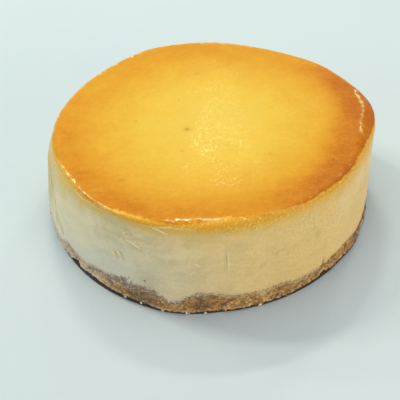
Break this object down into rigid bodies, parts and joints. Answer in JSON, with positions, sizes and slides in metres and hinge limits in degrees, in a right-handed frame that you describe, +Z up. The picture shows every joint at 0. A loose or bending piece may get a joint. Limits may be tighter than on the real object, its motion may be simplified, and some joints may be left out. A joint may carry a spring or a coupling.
{
  "type": "baked cheesecake",
  "caption": "Whole round baked cheesecake: a browned, glossy top over a pale cheese filling, on a pressed biscuit crumb base.",
  "frame": {"origin": "on the table, under the middle of the cake's bounding box", "axes": "+Z up; the front of the cake faces -Y, and +X is to the right seen from the front"},
  "size_m": [0.2032, 0.1988, 0.062],
  "materials": {
    "cheese_filling": "satin",
    "crumb_base": "matte"
  },
  "bodies": {
    "root": {"cheese_filling": "cheese_filling", "crumb_base": "crumb_base"}
  },
  "joints": []
}
